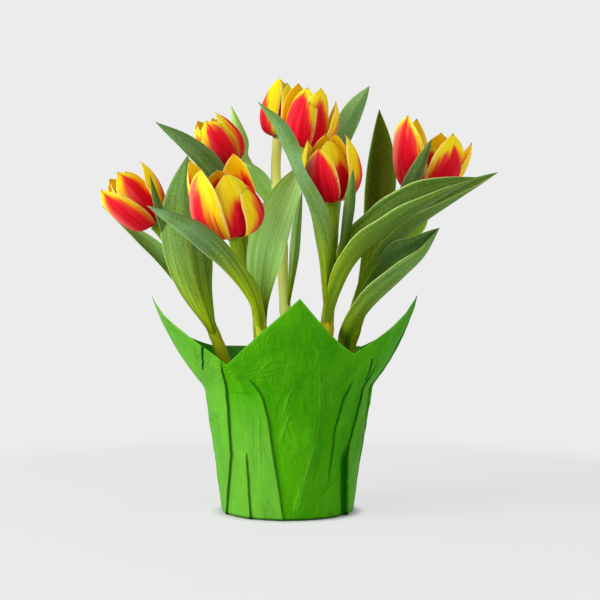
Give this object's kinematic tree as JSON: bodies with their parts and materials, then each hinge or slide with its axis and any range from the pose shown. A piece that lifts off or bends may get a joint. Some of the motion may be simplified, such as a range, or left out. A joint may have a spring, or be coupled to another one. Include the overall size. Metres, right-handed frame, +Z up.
{
  "type": "potted tulip plant",
  "caption": "Potted tulips with flamed red and yellow blooms and broad arching leaves, growing from bulbs in a nursery pot inside a pleated green paper cover with pointed flaps.",
  "frame": {"origin": "middle of the flat underside of the paper cover, below the pot's axis", "axes": "+Z up along the pot's axis, -Y towards the front, +X to the right as seen from the front"},
  "size_m": [0.3147, 0.2528, 0.3485],
  "materials": {
    "cover_paper": "satin waxed",
    "pot_plastic": "matte",
    "soil": "crumbly, damp",
    "bulb_skin": "papery",
    "foliage": "satin, waxy",
    "petal": "satin",
    "flower_heart": "matte"
  },
  "bodies": {
    "root": {"paper_cover": "cover_paper", "nursery_pot": "pot_plastic", "soil": "soil", "bulb_a": "bulb_skin", "leafy_stem_a": "foliage", "bloom_a": "petal", "heart_a": "flower_heart", "bulb_b": "bulb_skin", "leafy_stem_b": "foliage", "bloom_b": "petal", "heart_b": "flower_heart", "bulb_c": "bulb_skin", "leafy_stem_c": "foliage", "bloom_c": "petal", "heart_c": "flower_heart", "bulb_d": "bulb_skin", "leafy_stem_d": "foliage", "bloom_d": "petal", "heart_d": "flower_heart", "bulb_e": "bulb_skin", "leafy_stem_e": "foliage", "bloom_e": "petal", "heart_e": "flower_heart", "bulb_f": "bulb_skin", "leafy_stem_f": "foliage", "bloom_f": "petal", "heart_f": "flower_heart", "bulb_g": "bulb_skin", "leafy_stem_g": "foliage", "bloom_g": "petal", "heart_g": "flower_heart"}
  },
  "joints": []
}
